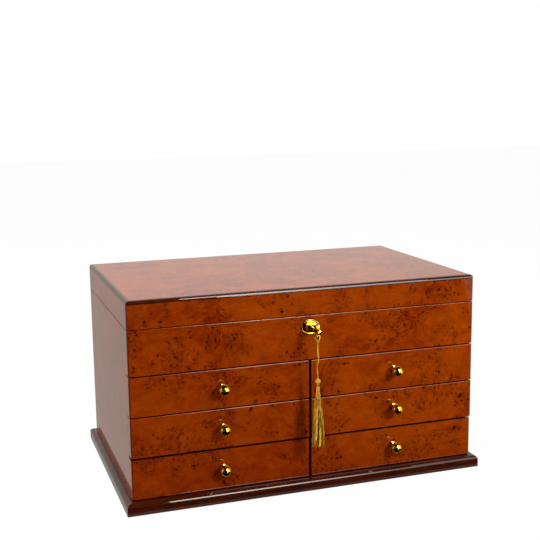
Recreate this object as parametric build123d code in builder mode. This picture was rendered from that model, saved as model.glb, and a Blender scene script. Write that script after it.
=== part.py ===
from build123d import *
import math
import os

os.makedirs("parts", exist_ok=True)

# Cigar humidor: a lacquered table cabinet with a hinged lid over a cedar-lined compartment,
# six drawers below it and a moulded plinth. Millimetres. The origin is the centre of the
# felt face that it rests on, +X is to the right, +Y to the back and +Z up.

# Case and its boards
case_width = 392.0
case_depth = 243.0
wall = 12.0
shelf_thickness = 5.0
deck_thickness = 6.0
deck_lap = 3.5
partition_thickness = 16.0

# Plinth and base
felt_thickness = 1.0
felt_proud = 0.3
felt_gap = 0.5
felt_corner = 3.0
plinth_height = 12.7
plinth_overhang = 7.0
plinth_width = 25.0
plinth_round = 4.5
base_thickness = 6.0

# Fronts and gaps, from the plinth up
plinth_gap = 0.7
bottom_front_height = 43.2
bottom_gap = 2.2
middle_front_height = 42.5
middle_gap = 1.0
top_front_height = 42.0
rail_gap = 1.0
rail_height = 48.0
seam_gap = 0.8
lid_wall_height = 25.3
lid_top_thickness = 4.2
bead_width = 5.0
bead_round = 3.8
bottom_setback = 1.5
centre_gap = 2.0
front_clearance = 0.3
front_round = 0.8
corner_round = 2.0
inner_corner_round = 0.9

# Drawer boxes
box_wall = 6.0
box_bottom = 3.0
box_groove = 2.8
groove_clearance = 0.1
bottom_rise = 3.0
box_side_clearance = 0.6
box_float = 0.3
box_headroom = 2.0
box_back_clearance = 2.3
fingers = 5

# Knobs and their screws
knob_radius = 6.2
knob_rise = 1.0
knob_reach = 16.0
knob_neck = 2.7
knob_collar_radius = 4.5
knob_collar = 1.4
knob_screw_radius = 1.5
knob_screw_grip = 7.0
knob_screw_head = 3.2

# Cedar lining
lining = 5.0
lining_floor_thickness = 3.0
lip_height = 6.6
lip_clearance = 0.5
lid_lining_top_thickness = 3.0
lid_lining_gap = 1.5
divider_thickness = 5.0
divider_height = 40.0
divider_clearance = 0.3
divider_notch = 12.0

# Hinges
hinge_x = 125.0
hinge_length = 38.0
knuckle_radius = 2.2
knuckle_clearance = 0.2
knuckle_gap = 0.15
leaf_thickness = 1.6
leaf_width = 10.0
leaf_edge = 0.3
pin_radius = 1.1
pin_clearance = 0.05
screw_radius = 0.9
screw_head = 1.9
screw_length = 9.0
screw_pitch = 13.0
screw_clearance = 0.05

# Lock, key and escutcheon
key_drop = 12.3
lock_half_width = 20.0
lock_depth = 8.0
lock_height = 27.4
lock_wall = 1.2
lock_clearance = 0.2
selvedge_thickness = 1.4
selvedge_half_width = 26.0
bolt_travel = 5.0
bolt_clearance = 0.5
loop_x = 9.0
loop_thickness = 1.6
loop_drop = 7.5
loop_bar = 1.0
strike_half_width = 20.0
strike_thickness = 1.2
keyhole_radius = 2.1
keyhole_slot = 2.4
keyhole_length = 5.8
escutcheon_width = 21.0
escutcheon_height = 16.5
escutcheon_thickness = 1.0
escutcheon_rim = 1.6
escutcheon_rim_rise = 0.7
escutcheon_rim_round = 0.6
escutcheon_dome = 0.9
shank_radius = 1.6
bit_reach = 5.0
bit_thickness = 1.6
bow_thickness = 1.8
lobe_radius = 3.4
lobe_hole = 1.7
lobe_rise = 4.4
lobe_out = 22.6
lobe_lead = 4.2
bow_hub = 2.8

# Tassel
cord_radius = 0.75
loop_clearance = 0.3
knot_radius = 1.6
knot_flat = 1.3
tassel_cord_length = 38.6
cord_inside = 17.5
tassel_ball = 2.8
tassel_ball_flat = 2.6
tassel_neck = 1.3
tassel_head_length = 10.9
tassel_binding = 1.9
skirt_length = 64.4
skirt_radius = 8.3
skirt_flutes = 22
flute_depth = 0.12

# Hygrometer and humidifier under the lid
hygrometer_x = -105.0
hygrometer_radius = 23.0
hygrometer_flange = 26.5
hygrometer_flange_thickness = 2.2
hygrometer_depth = 8.0
hygrometer_wall = 1.5
dial_thickness = 0.6
glass_thickness = 1.2
needle_length = 15.0
needle_tail = 4.5
needle_clearance = 0.3
needle_reading = 68.0
dial_sweep = 270.0
humidifier_x = 50.0
humidifier_length = 160.0
humidifier_width = 62.0
humidifier_depth = 13.0
humidifier_wall = 1.6
foam_clearance = 0.3
grille_slots = 13
grille_slot_width = 3.0
grille_slot_length = 44.0

# Levels and planes that the sizes above give
plinth_top = felt_proud + plinth_height
base_top = plinth_top + base_thickness
bottom_z = plinth_top + plinth_gap
middle_z = bottom_z + bottom_front_height + bottom_gap
top_z = middle_z + middle_front_height + middle_gap
rail_z = top_z + top_front_height + rail_gap
seam_z = rail_z + rail_height
lid_z = seam_z + seam_gap
lid_top_z = lid_z + lid_wall_height
total_z = lid_top_z + lid_top_thickness
shelf_lower_z = middle_z - bottom_gap / 2 - shelf_thickness / 2
shelf_upper_z = top_z - middle_gap / 2 - shelf_thickness / 2
deck_z = rail_z - deck_lap
deck_top = deck_z + deck_thickness
lining_floor_top = deck_top + lining_floor_thickness
lip_top = seam_z + lip_height
lid_lining_z = lip_top + lid_lining_gap
lid_ceiling = lid_top_z - lid_lining_top_thickness
half_width = case_width / 2
front_y = -case_depth / 2
back_y = case_depth / 2
inner_x = half_width - wall
inner_front = front_y + wall
inner_back = back_y - wall
key_z = seam_z - key_drop
hinge_y = back_y + knuckle_radius + knuckle_clearance
hinge_z = seam_z + seam_gap / 2


def block(x, y, z, mode=Mode.ADD):
    """A rectangular block between two limits on each axis, in the part being built."""
    with Locations(((x[0] + x[1]) / 2, (y[0] + y[1]) / 2, (z[0] + z[1]) / 2)):
        Box(x[1] - x[0], y[1] - y[0], z[1] - z[0], mode=mode)


def rod(start, end, radius, mode=Mode.ADD):
    """A round rod, or with Mode.SUBTRACT a round hole, from one point to another."""
    along = Vector(*end) - Vector(*start)
    with BuildSketch(Plane(origin=start, z_dir=along)) as section:
        Circle(radius)
    extrude(section.sketch, amount=along.length, mode=mode)


def save(name, *solids):
    """Label one node, which is one piece or a group of separate pieces, and write it."""
    node = solids[0] if len(solids) == 1 else Compound(children=list(solids))
    node.label = name
    export_step(node, f"parts/{name}.step")


def mitred_side(outline, half_length, reach, turn, corner):
    """One side of a mitred frame. The outline's points are (out from the middle, up), the
    ends are cut at 45 degrees through the corners at half_length, reach, which may be
    rounded, and the side is turned about Z from the front."""
    with BuildPart() as side:
        with BuildSketch(Plane(origin=(0, 0, 0), x_dir=(0, -1, 0), z_dir=(-1, 0, 0))):
            with BuildLine():
                Polyline(*outline, close=True)
            make_face()
        extrude(amount=half_length, both=True)
        for end in (1, -1):
            tip = (end * half_length, -reach, 0)
            split(bisect_by=Plane(origin=tip, z_dir=(end, 1, 0)), keep=Keep.BOTTOM)
        if corner:
            with BuildSketch():
                RectangleRounded(2 * half_length, 2 * reach, corner)
            extrude(amount=total_z, mode=Mode.INTERSECT)
    return side.part.rotate(Axis.Z, turn)


def mitred_frame(outline_at, half_x, half_y, corner=0.0):
    """Four mitred sides: front, right, back and left. outline_at(reach) gives the outline
    of a side whose outer face is that far from the middle."""
    return [
        mitred_side(outline_at(reach), length, reach, turn, corner)
        for length, reach, turn in (
            (half_x, half_y, 0), (half_y, half_x, 90), (half_x, half_y, 180), (half_y, half_x, 270)
        )
    ]


def countersunk(place, down, length=screw_length):
    """A countersunk wood screw: place is the middle of its head's flat face and down the
    way it points."""
    with BuildPart() as screw:
        with BuildSketch(Plane(origin=place, x_dir=(1, 0, 0), z_dir=(0, 1, 0))) as profile:
            with BuildLine():
                Polyline(
                    (0, 0), (screw_head, 0), (screw_radius, screw_head - screw_radius),
                    (screw_radius, length - screw_radius), (0, length), close=True,
                )
            make_face()
        revolve(axis=Axis(origin=place, direction=(0, 0, 1)))
    flip = screw.part if down < 0 else mirror(screw.part, about=Plane(origin=place, z_dir=(0, 0, 1)))
    return flip


# Felt pad let in under the base board, inside the plinth: the face that the humidor rests on.
with BuildPart() as felt_pad:
    felt_inset = plinth_width + felt_gap
    block(
        (-half_width - plinth_overhang + felt_inset, half_width + plinth_overhang - felt_inset),
        (front_y - plinth_overhang + felt_inset, back_y + plinth_overhang - felt_inset),
        (0, felt_thickness),
    )
    fillet(felt_pad.edges().filter_by(Axis.Z), felt_corner)
save("felt_pad", felt_pad.part)


# Plinth: four mitred mouldings with a rounded top edge that leaves a flat ledge.
def plinth_outline(reach):
    steps = 6
    rounding = [
        (
            reach - plinth_round * (1 - math.cos(math.radians(90 * i / steps))),
            plinth_top - plinth_round * (1 - math.sin(math.radians(90 * i / steps))),
        )
        for i in range(steps + 1)
    ]
    inner = reach - plinth_width
    return [(inner, felt_proud), (reach, felt_proud), *rounding, (inner, plinth_top)]


plinth_x = half_width + plinth_overhang
plinth_y = back_y + plinth_overhang
save("plinth_mouldings", *mitred_frame(plinth_outline, plinth_x, plinth_y))

# Base board: its lower part fills the plinth frame, its rebated edge rests on the mouldings.
with BuildPart() as base_panel:
    block(
        (plinth_width - plinth_x, plinth_x - plinth_width),
        (plinth_width - plinth_y, plinth_y - plinth_width),
        (felt_thickness, plinth_top),
    )
    block((-inner_x, inner_x), (inner_front, inner_back), (plinth_top, base_top))
save("base_panel", base_panel.part)

# Sides run the full depth behind the overlay fronts; the back is let in between them and
# has the mortises and pilot holes of the hinges in its top edge.
for name, sign in (("side_left", -1), ("side_right", 1)):
    with BuildPart() as side:
        block(sorted((sign * inner_x, sign * half_width)), (inner_front, back_y), (plinth_top, seam_z))
        corner = side.edges().filter_by(Axis.Z).filter_by(
            lambda e: abs(abs(e.center().X) - half_width) < 1e-6 and e.center().Y > 0
        )
        fillet(corner, corner_round)
    save(name, side.part)

screw_spots = [
    (side * hinge_x + k * screw_pitch, back_y - leaf_width / 2) for side in (-1, 1) for k in (-1, 0, 1)
]
with BuildPart() as back_panel:
    block((-inner_x, inner_x), (inner_back, back_y), (plinth_top, seam_z))
    for side in (-1, 1):
        block(
            (side * hinge_x - hinge_length / 2, side * hinge_x + hinge_length / 2),
            (back_y - leaf_width, back_y), (seam_z - leaf_thickness, seam_z), Mode.SUBTRACT,
        )
    for x, y in screw_spots:
        rod((x, y, seam_z), (x, y, seam_z - screw_length - screw_clearance),
            screw_radius + screw_clearance, Mode.SUBTRACT)
save("back_panel", back_panel.part)


def keyhole(y_from, y_to, grow=0.0):
    """Cut the keyhole, a round with a slot below it for the bit, through the open part."""
    rod((0, y_from, key_z), (0, y_to, key_z), keyhole_radius + grow, Mode.SUBTRACT)
    block((-keyhole_slot / 2 - grow, keyhole_slot / 2 + grow), (y_from, y_to),
          (key_z - keyhole_length - grow, key_z), Mode.SUBTRACT)


# Front rail: the fixed front above the drawers. The lock is let into its inner face.
lock_y = inner_front - lock_depth
lock_z = seam_z - lock_height
lock_screw_x = (lock_half_width + selvedge_half_width) / 2
with BuildPart() as front_rail:
    block((-half_width, half_width), (front_y, inner_front), (rail_z, seam_z))
    fillet(front_rail.faces().sort_by(Axis.Y)[0].edges().filter_by(Axis.Z), corner_round)
    for face in (front_rail.faces().sort_by(Axis.Z)[0], front_rail.faces().sort_by(Axis.Z)[-1]):
        fillet(face.edges().filter_by(lambda e: e.center().Y < front_y + corner_round), front_round)
    keyhole(front_y, lock_y, grow=0.4)
    block((-lock_half_width - lock_clearance, lock_half_width + lock_clearance),
          (lock_y, inner_front), (lock_z - lock_clearance, seam_z), Mode.SUBTRACT)
    block((-selvedge_half_width - lock_clearance, selvedge_half_width + lock_clearance),
          (lock_y, inner_front), (seam_z - selvedge_thickness, seam_z), Mode.SUBTRACT)
    for sign in (-1, 1):
        rod((sign * lock_screw_x, lock_y + lock_depth / 2, seam_z),
            (sign * lock_screw_x, lock_y + lock_depth / 2, seam_z - screw_length - screw_clearance),
            screw_radius + screw_clearance, Mode.SUBTRACT)
save("front_rail", front_rail.part)

# Deck under the upper compartment, the two shelves between the drawer rows, and the
# uprights that part each row in two.
with BuildPart() as deck_panel:
    block((-inner_x, inner_x), (inner_front, inner_back), (deck_z, deck_top))
save("deck_panel", deck_panel.part)
for name, z in (("shelf_lower", shelf_lower_z), ("shelf_upper", shelf_upper_z)):
    with BuildPart() as shelf:
        block((-inner_x, inner_x), (inner_front, inner_back), (z, z + shelf_thickness))
    save(name, shelf.part)

bays = {
    "bottom": (base_top, shelf_lower_z),
    "middle": (shelf_lower_z + shelf_thickness, shelf_upper_z),
    "top": (shelf_upper_z + shelf_thickness, deck_z),
}
uprights = []
for floor, ceiling in bays.values():
    with BuildPart() as upright:
        block((-partition_thickness / 2, partition_thickness / 2), (inner_front, inner_back), (floor, ceiling))
    uprights.append(upright.part)
save("centre_partitions", *uprights)


# Cedar lining of the upper compartment: four mitred boards whose rebated lip stands above
# the seam and guides the lid, and a floor.
def lining_outline(reach):
    inner = reach - lining
    return [
        (inner, deck_top), (reach, deck_top), (reach, seam_z), (reach - lip_clearance, seam_z),
        (reach - lip_clearance, lip_top - lip_clearance), (reach - 2 * lip_clearance, lip_top),
        (inner, lip_top),
    ]


save("lining_walls", *mitred_frame(lining_outline, inner_x, inner_back))
compartment_x = inner_x - lining
compartment_y = inner_back - lining
with BuildPart() as lining_floor:
    block((-compartment_x, compartment_x), (-compartment_y, compartment_y), (deck_top, lining_floor_top))
save("lining_floor", lining_floor.part)

# Loose divider across the compartment, with a thumb notch in its top edge.
divider_z = lining_floor_top + divider_clearance
with BuildPart() as divider:
    block(
        (-divider_thickness / 2, divider_thickness / 2),
        (-compartment_y + divider_clearance, compartment_y - divider_clearance),
        (divider_z, divider_z + divider_height),
    )
    top = divider_z + divider_height
    rod((-divider_thickness, 0, top), (divider_thickness, 0, top), divider_notch, Mode.SUBTRACT)
save("divider", divider.part)


# Drawers: a box of finger-jointed boards with its bottom in a groove, an overlay front and
# a ball knob held by a screw from inside. Left and right boxes mirror each other.
def drawer(name, side, front_z, front_height, floor, ceiling, setback):
    x = sorted((side * (partition_thickness / 2 + box_side_clearance), side * (inner_x - box_side_clearance)))
    y = (inner_front - front_clearance, inner_back - box_back_clearance)
    z = (floor + box_float, ceiling - box_headroom)
    panel = [
        (x[0] + box_wall - box_groove, x[1] - box_wall + box_groove),
        (y[0] + box_wall - box_groove, y[1] - box_wall + box_groove),
        (z[0] + bottom_rise, z[0] + bottom_rise + box_bottom),
    ]
    groove = [(low - groove_clearance, high + groove_clearance) for low, high in panel[:2]] + panel[2:]
    finger = (z[1] - z[0]) / fingers
    knob_x = side * (centre_gap / 2 + half_width) / 2
    knob_z = front_z + front_height / 2 + knob_rise
    face_y = front_y + setback
    boards = []
    for near, far in ((y[0], y[0] + box_wall), (y[1] - box_wall, y[1])):
        with BuildPart() as end:
            block(x, (near, far), z)
            for k in range(1, fingers, 2):
                level = (z[0] + k * finger, z[0] + (k + 1) * finger)
                block((x[0], x[0] + box_wall), (near, far), level, Mode.SUBTRACT)
                block((x[1] - box_wall, x[1]), (near, far), level, Mode.SUBTRACT)
            block(*groove, Mode.SUBTRACT)
            rod((knob_x, y[0], knob_z), (knob_x, y[0] + box_wall, knob_z),
                knob_screw_radius + screw_clearance, Mode.SUBTRACT)
        boards.append(end.part)
    for low, high in ((x[0], x[0] + box_wall), (x[1] - box_wall, x[1])):
        with BuildPart() as flank:
            block((low, high), y, z)
            for k in range(0, fingers, 2):
                level = (z[0] + k * finger, z[0] + (k + 1) * finger)
                block((low, high), (y[0], y[0] + box_wall), level, Mode.SUBTRACT)
                block((low, high), (y[1] - box_wall, y[1]), level, Mode.SUBTRACT)
            block(*groove, Mode.SUBTRACT)
        boards.append(flank.part)
    with BuildPart() as bottom:
        block(*panel)
    boards.append(bottom.part)
    save(f"drawer_{name}_box", *boards)

    with BuildPart() as front:
        block(sorted((side * centre_gap / 2, side * half_width)),
              (face_y, inner_front - front_clearance), (front_z, front_z + front_height))
        upright = front.faces().sort_by(Axis.Y)[0].edges().filter_by(Axis.Z).sort_by(Axis.X)
        fillet(upright[-1 if side > 0 else 0], corner_round)
        upright = front.faces().sort_by(Axis.Y)[0].edges().filter_by(Axis.Z).sort_by(Axis.X)
        fillet(upright[0 if side > 0 else -1], inner_corner_round)
        for end in (0,) if setback else (0, -1):
            rim = front.faces().sort_by(Axis.Z)[end].edges()
            fillet(rim.filter_by(lambda e: e.center().Y < face_y + corner_round), front_round)
        rod((knob_x, face_y, knob_z), (knob_x, y[0], knob_z),
            knob_screw_radius + screw_clearance, Mode.SUBTRACT)
    save(f"drawer_{name}_front", front.part)

    place = (knob_x, face_y, knob_z)
    centre = knob_reach - knob_radius
    neck_end = centre - math.sqrt(knob_radius**2 - knob_neck**2)
    with BuildPart() as knob:
        with BuildSketch(Plane(origin=place, x_dir=(1, 0, 0), z_dir=(0, 0, -1))):
            with BuildLine():
                Polyline((0, 0), (knob_collar_radius, 0), (knob_collar_radius, knob_collar))
                Line((knob_collar_radius, knob_collar), (knob_neck, 2 * knob_collar))
                Line((knob_neck, 2 * knob_collar), (knob_neck, neck_end))
                ThreePointArc((knob_neck, neck_end), (knob_radius, centre), (0, knob_reach))
                Line((0, knob_reach), (0, 0))
            make_face()
        revolve(axis=Axis(origin=place, direction=(0, -1, 0)))
        rod(place, (knob_x, face_y - knob_screw_grip, knob_z),
            knob_screw_radius + screw_clearance, Mode.SUBTRACT)
    head_y = y[0] + box_wall
    with BuildPart() as screw:
        rod((knob_x, face_y - knob_screw_grip + groove_clearance, knob_z), (knob_x, head_y, knob_z),
            knob_screw_radius)
        rod((knob_x, head_y, knob_z), (knob_x, head_y + knob_screw_radius, knob_z), knob_screw_head)
    save(f"drawer_{name}_knob", knob.part, screw.part)


rows = {
    "top": (top_z, top_front_height, 0.0),
    "middle": (middle_z, middle_front_height, 0.0),
    "bottom": (bottom_z, bottom_front_height, bottom_setback),
}
for row, (z, height, setback) in rows.items():
    for word, side in (("left", -1), ("right", 1)):
        drawer(f"{row}_{word}", side, z, height, *bays[row], setback)


# Lid: four mitred walls, a top panel inside a quarter-round bead, and its cedar lining.
def lid_wall_outline(reach):
    return [(reach - wall, lid_z), (reach, lid_z), (reach, lid_top_z), (reach - wall, lid_top_z)]


lid_walls = mitred_frame(lid_wall_outline, half_width, back_y, corner_round)
with BuildPart() as lid_front:
    add(lid_walls[0])
    block((-strike_half_width - lock_clearance, strike_half_width + lock_clearance),
          (lock_y, inner_front), (lid_z, lid_z + strike_thickness), Mode.SUBTRACT)
    strike_screw_x = (loop_x + strike_half_width) / 2
    for sign in (-1, 1):
        rod((sign * strike_screw_x, lock_y + lock_depth / 2, lid_z),
            (sign * strike_screw_x, lock_y + lock_depth / 2, lid_z + screw_length + screw_clearance),
            screw_radius + screw_clearance, Mode.SUBTRACT)
with BuildPart() as lid_back:
    add(lid_walls[2])
    for side in (-1, 1):
        block(
            (side * hinge_x - hinge_length / 2, side * hinge_x + hinge_length / 2),
            (back_y - leaf_width, back_y), (lid_z, lid_z + leaf_thickness), Mode.SUBTRACT,
        )
    for x, y in screw_spots:
        rod((x, y, lid_z), (x, y, lid_z + screw_length + screw_clearance),
            screw_radius + screw_clearance, Mode.SUBTRACT)
save("lid_walls", lid_front.part, lid_walls[1], lid_back.part, lid_walls[3])

with BuildPart() as lid_top:
    block((bead_width - half_width, half_width - bead_width),
          (front_y + bead_width, back_y - bead_width), (lid_top_z, total_z))
save("lid_top", lid_top.part)


def bead_outline(reach):
    steps = 8
    rounding = [
        (
            reach - bead_round * (1 - math.cos(math.radians(90 * i / steps))),
            total_z - bead_round * (1 - math.sin(math.radians(90 * i / steps))),
        )
        for i in range(steps + 1)
    ]
    return [(reach - bead_width, lid_top_z), (reach, lid_top_z), *rounding, (reach - bead_width, total_z)]


save("lid_edge_beads", *mitred_frame(bead_outline, half_width, back_y, corner_round))

with BuildPart() as lid_lining_top:
    block((-inner_x, inner_x), (inner_front, inner_back), (lid_ceiling, lid_top_z))
    rod((hygrometer_x, 0, lid_ceiling), (hygrometer_x, 0, lid_top_z),
        hygrometer_radius + groove_clearance, Mode.SUBTRACT)
save("lid_lining_top", lid_lining_top.part)


def lid_lining_outline(reach):
    inner = reach - lining
    return [(inner, lid_lining_z), (reach, lid_lining_z), (reach, lid_ceiling), (inner, lid_ceiling)]


save("lid_lining_sides", *mitred_frame(lid_lining_outline, inner_x, inner_back))

# Hinges: butt hinges let into the back edges, five interleaved knuckles on a pin. The
# case leaves carry knuckles 0, 2 and 4, the lid leaves 1 and 3.
knuckle_length = hinge_length / 5


def leaf(side, up):
    """A hinge leaf: up is 1 on the lid and -1 on the case."""
    x0 = side * hinge_x - hinge_length / 2
    base = lid_z if up > 0 else seam_z
    z = sorted((base, base + up * leaf_thickness))
    with BuildPart() as plate:
        block((x0, x0 + hinge_length), (back_y - leaf_width, back_y - leaf_edge), z)
        for k in range(5):
            if (k % 2 == 0) == (up < 0):
                low, high = x0 + k * knuckle_length, x0 + (k + 1) * knuckle_length
                span = (low + (knuckle_gap if k > 0 else 0), high - (knuckle_gap if k < 4 else 0))
                block(span, (back_y - leaf_width / 2, hinge_y), z)
                rod((span[0], hinge_y, hinge_z), (span[1], hinge_y, hinge_z), knuckle_radius)
        rod((x0 - 1, hinge_y, hinge_z), (x0 + hinge_length + 1, hinge_y, hinge_z),
            pin_radius + pin_clearance, Mode.SUBTRACT)
        for k in (-1, 0, 1):
            spot = (side * hinge_x + k * screw_pitch, back_y - leaf_width / 2, base)
            with Locations(Plane(origin=spot, z_dir=(0, 0, -up))):
                CounterSinkHole(screw_radius + screw_clearance, screw_head + screw_clearance,
                                depth=leaf_thickness, counter_sink_angle=90)
    return plate.part


save("hinge_leaves_lower", leaf(-1, -1), leaf(1, -1))
save("hinge_leaves_upper", leaf(-1, 1), leaf(1, 1))
pins = []
for side in (-1, 1):
    with BuildPart() as pin:
        reach = hinge_length / 2
        rod((side * hinge_x - reach, hinge_y, hinge_z), (side * hinge_x + reach, hinge_y, hinge_z), pin_radius)
    pins.append(pin.part)
save("hinge_pins", *pins)
save("hinge_screws_lower", *[countersunk((x, y, seam_z), -1) for x, y in screw_spots])
save("hinge_screws_upper", *[countersunk((x, y, lid_z), 1) for x, y in screw_spots])

# Lock: a sheet-brass box with its selvedge flush in the seam. The key's bit pushes the
# bolt's leg, and the bolt's two fingers go into the loops of the strike plate above.
cavity_y = (lock_y + lock_wall, inner_front - lock_wall)
loop_y = (cavity_y[0] + 0.4, cavity_y[1] - 0.4)
loop_z = lid_z - loop_drop
eye_width = (loop_y[1] - loop_y[0]) / 2.4
mid_y = (loop_y[0] + loop_y[1]) / 2
with BuildPart() as lock_case:
    block((-lock_half_width, lock_half_width), (lock_y, inner_front), (lock_z, seam_z))
    block((-selvedge_half_width, selvedge_half_width), (lock_y, inner_front),
          (seam_z - selvedge_thickness, seam_z))
    block((lock_wall - lock_half_width, lock_half_width - lock_wall), cavity_y,
          (lock_z + lock_wall, seam_z - selvedge_thickness), Mode.SUBTRACT)
    for sign in (-1, 1):
        block((sign * loop_x - loop_thickness / 2 - lock_clearance, sign * loop_x + loop_thickness / 2 + lock_clearance),
              (loop_y[0] - 0.3, loop_y[1] + 0.3), (seam_z - 2 * selvedge_thickness, seam_z), Mode.SUBTRACT)
        with Locations(Plane(origin=(sign * lock_screw_x, lock_y + lock_depth / 2, seam_z))):
            CounterSinkHole(screw_radius + screw_clearance, screw_head + screw_clearance,
                            depth=selvedge_thickness, counter_sink_angle=90)
    keyhole(lock_y, cavity_y[0])
save("lock_case", lock_case.part)
save("lock_screws", *[
    countersunk((sign * lock_screw_x, lock_y + lock_depth / 2, seam_z), -1) for sign in (-1, 1)
])

finger_z = (loop_z + loop_bar + 0.6, loop_z + loop_bar + 2.4)
bar_z = (key_z + shank_radius + 0.6, loop_z - bolt_clearance)
leg_x = (bit_thickness / 2 + 1.2, bit_thickness / 2 + 4.7)
with BuildPart() as lock_bolt:
    tip = loop_x - loop_thickness / 2 - bolt_clearance
    post = tip - bolt_travel
    left_tip = -loop_x - loop_thickness / 2 - bolt_clearance
    left_post = left_tip - bolt_travel
    bolt_y = (loop_y[0] + 0.2, loop_y[1] - 0.2)
    finger_y = (mid_y - eye_width / 2 + 0.2, mid_y + eye_width / 2 - 0.2)
    block((left_post - 2.5, leg_x[1]), bolt_y, bar_z)
    block((post - 2.5, post), bolt_y, (bar_z[0], finger_z[1]))
    block((left_post - 2.5, left_post), bolt_y, (bar_z[0], finger_z[1]))
    block((post - 1, tip), finger_y, finger_z)
    block((left_post - 1, left_tip), finger_y, finger_z)
    block(leg_x, bolt_y, (key_z - bit_reach + 0.2, bar_z[1]))
save("lock_bolt", lock_bolt.part)

with BuildPart() as strike_plate:
    block((-strike_half_width, strike_half_width), (lock_y, inner_front), (lid_z, lid_z + strike_thickness))
    for sign in (-1, 1):
        span = (sign * loop_x - loop_thickness / 2, sign * loop_x + loop_thickness / 2)
        block(span, loop_y, (loop_z, lid_z))
        block(span, (mid_y - eye_width / 2, mid_y + eye_width / 2),
              (loop_z + loop_bar, loop_z + loop_bar + 3.0), Mode.SUBTRACT)
        with Locations(Plane(origin=(sign * strike_screw_x, lock_y + lock_depth / 2, lid_z), z_dir=(0, 0, -1))):
            CounterSinkHole(screw_radius + screw_clearance, screw_head + screw_clearance,
                            depth=strike_thickness, counter_sink_angle=90)
save("strike_plate", strike_plate.part)
save("strike_screws", *[
    countersunk((sign * strike_screw_x, lock_y + lock_depth / 2, lid_z), 1) for sign in (-1, 1)
])

# Escutcheon: an oval plate, domed inside a raised round rim, with the keyhole.
with BuildPart() as escutcheon:
    with BuildSketch(Plane(origin=(0, front_y, key_z), x_dir=(1, 0, 0), z_dir=(0, -1, 0))):
        Ellipse(escutcheon_width / 2, escutcheon_height / 2)
    extrude(amount=escutcheon_thickness)
    with BuildSketch(Plane(origin=(0, front_y - escutcheon_thickness, key_z), x_dir=(1, 0, 0), z_dir=(0, -1, 0))):
        Ellipse(escutcheon_width / 2, escutcheon_height / 2)
        Ellipse(escutcheon_width / 2 - escutcheon_rim, escutcheon_height / 2 - escutcheon_rim, mode=Mode.SUBTRACT)
    extrude(amount=escutcheon_rim_rise)
    fillet(escutcheon.faces().sort_by(Axis.Y)[0].edges(), escutcheon_rim_round)
    for rise, wide in ((0, 1), (0.45, 0.84), (0.8, 0.56), (1, 0.2)):
        with BuildSketch(Plane(origin=(0, front_y - escutcheon_thickness - rise * escutcheon_dome, key_z),
                               x_dir=(1, 0, 0), z_dir=(0, -1, 0))):
            Ellipse(wide * (escutcheon_width / 2 - escutcheon_rim), wide * (escutcheon_height / 2 - escutcheon_rim))
    loft()
    keyhole(front_y - escutcheon_thickness - escutcheon_dome, front_y)
save("escutcheon", escutcheon.part)

# Key: a solid shank with a notched bit inside the lock and a pierced trefoil bow, whose
# plane is upright. Lengths along the key are counted out from the front.
lobes = [(lobe_out, lobe_rise), (lobe_out, -lobe_rise), (lobe_out + lobe_lead, 0)]
hub_out = lobe_out - 0.8
with BuildPart() as key:
    rod((0, cavity_y[1] - 0.4, key_z), (0, front_y - hub_out, key_z), shank_radius)
    block((-bit_thickness / 2, bit_thickness / 2), (bolt_y[0] + 0.2, cavity_y[1] - 0.4),
          (key_z - bit_reach, key_z))
    block((-bit_thickness, bit_thickness), (mid_y - 0.4, mid_y + 0.4),
          (key_z - bit_reach, key_z - bit_reach + 1.4), Mode.SUBTRACT)
    collar_y = front_y - escutcheon_thickness - escutcheon_rim_rise - 1.2
    rod((0, collar_y, key_z), (0, collar_y - 1.6, key_z), shank_radius + 1.0)
    rod((0, front_y - lobe_out + bow_hub + 2.2, key_z), (0, front_y - lobe_out + bow_hub + 0.6, key_z),
        shank_radius + 0.9)
    with BuildSketch(Plane(origin=(-bow_thickness / 2, front_y, key_z), x_dir=(0, -1, 0), z_dir=(1, 0, 0))) as bow:
        with Locations((hub_out, 0)):
            Circle(bow_hub)
        with Locations(*[(out, -rise) for out, rise in lobes]):
            Circle(lobe_radius)
            Circle(lobe_hole, mode=Mode.SUBTRACT)
    extrude(bow.sketch, amount=bow_thickness)
    for out, rise in lobes:
        rod((-2 * bow_thickness, front_y - out, key_z + rise), (2 * bow_thickness, front_y - out, key_z + rise),
            lobe_hole, Mode.SUBTRACT)
save("key", key.part)

# Tassel: a cord loop round the rim of the bow's lower lobe, its knot, the cord, the wound
# head and the skirt. They hang straight below the rim.
hang_y = front_y - lobe_out
rim = (lobe_radius - lobe_hole) / 2
pivot_z = key_z - lobe_rise - (lobe_radius + lobe_hole) / 2
loop_bend = math.hypot(bow_thickness / 2, rim) + loop_clearance + cord_radius
knot_drop = 2 * loop_bend
knot_z = pivot_z - knot_drop
with BuildPart() as tassel_loop:
    touch = math.radians(-30)
    start = (loop_bend * math.cos(touch), loop_bend * math.sin(touch))
    with BuildLine(Plane(origin=(0, hang_y, pivot_z), x_dir=(1, 0, 0), z_dir=(0, -1, 0))) as half_loop:
        Line((0, -knot_drop), start)
        RadiusArc(start, (0, loop_bend), -loop_bend)
    with BuildSketch(Plane(origin=half_loop.line @ 0, z_dir=half_loop.line % 0)):
        Circle(cord_radius)
    sweep(path=half_loop.line)
    mirror(about=Plane.YZ)
    with Locations((0, hang_y, knot_z)):
        Sphere(knot_radius)
    block((-knot_radius, knot_radius), (hang_y - knot_radius, hang_y + knot_radius),
          (knot_z - knot_radius, knot_z - knot_flat), Mode.SUBTRACT)
save("tassel_loop", tassel_loop.part)

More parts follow.
